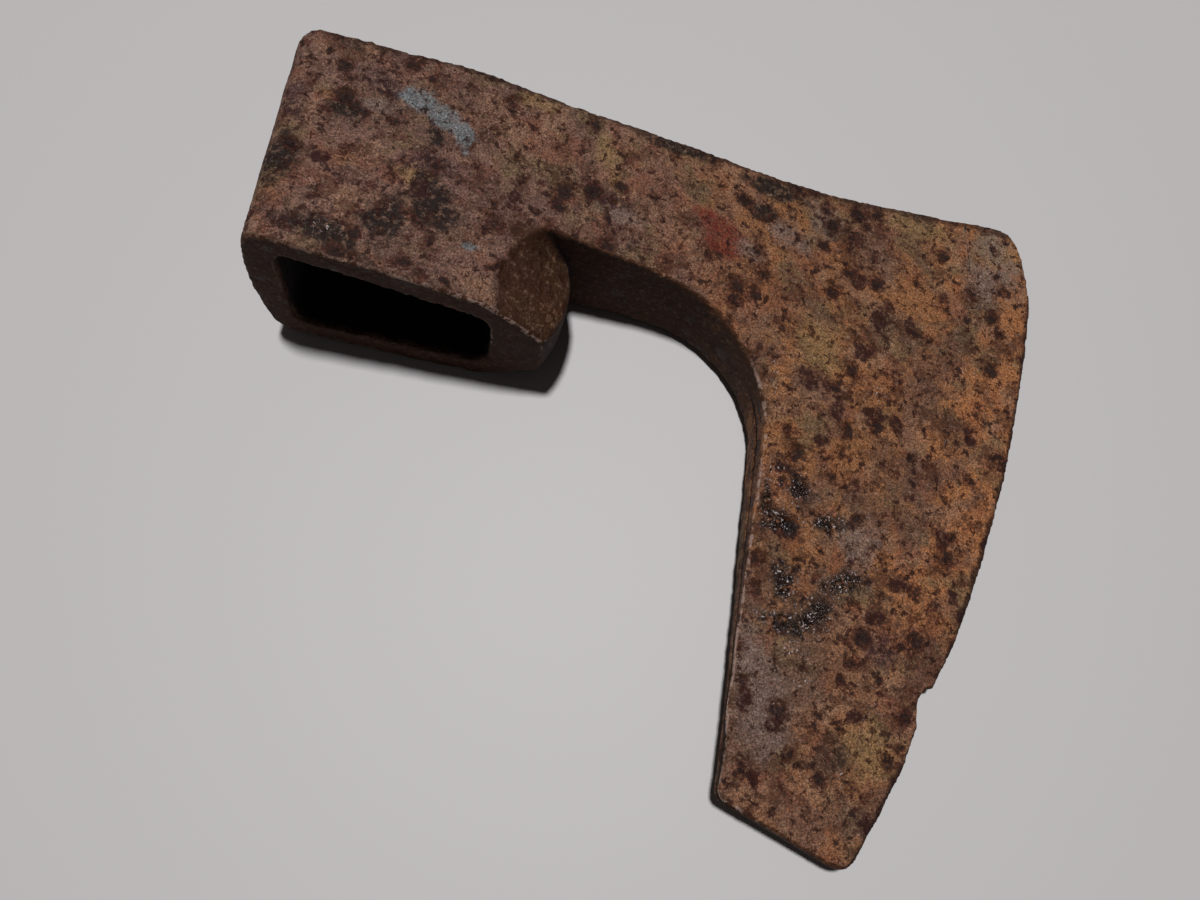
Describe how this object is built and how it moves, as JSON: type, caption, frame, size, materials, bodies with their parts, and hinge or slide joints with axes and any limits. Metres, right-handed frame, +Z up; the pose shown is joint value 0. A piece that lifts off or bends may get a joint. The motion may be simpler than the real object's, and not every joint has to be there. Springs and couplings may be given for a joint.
{
  "type": "bearded hatchet head",
  "caption": "Hand-forged bearded hatchet head lying on its side: folded iron body with an open tapered eye and a steel bit welded into the edge, rusted and pitted.",
  "frame": {"origin": "middle of the bounding box's floor side; the head lies on its lower cheek and its cutting edge on Z = 0", "axes": "+X from the poll towards the cutting edge, +Y up the haft through the eye (the beard hangs towards -Y), +Z up off the surface it lies on"},
  "size_m": [0.1562, 0.1322, 0.0392],
  "materials": {
    "forged_iron": "rusted brown all over, pitted, with darker scale patches",
    "edge_steel": "rusted orange-brown, blunt and pitted"
  },
  "bodies": {
    "root": {"iron_body": "forged_iron", "steel_bit": "edge_steel"}
  },
  "joints": []
}
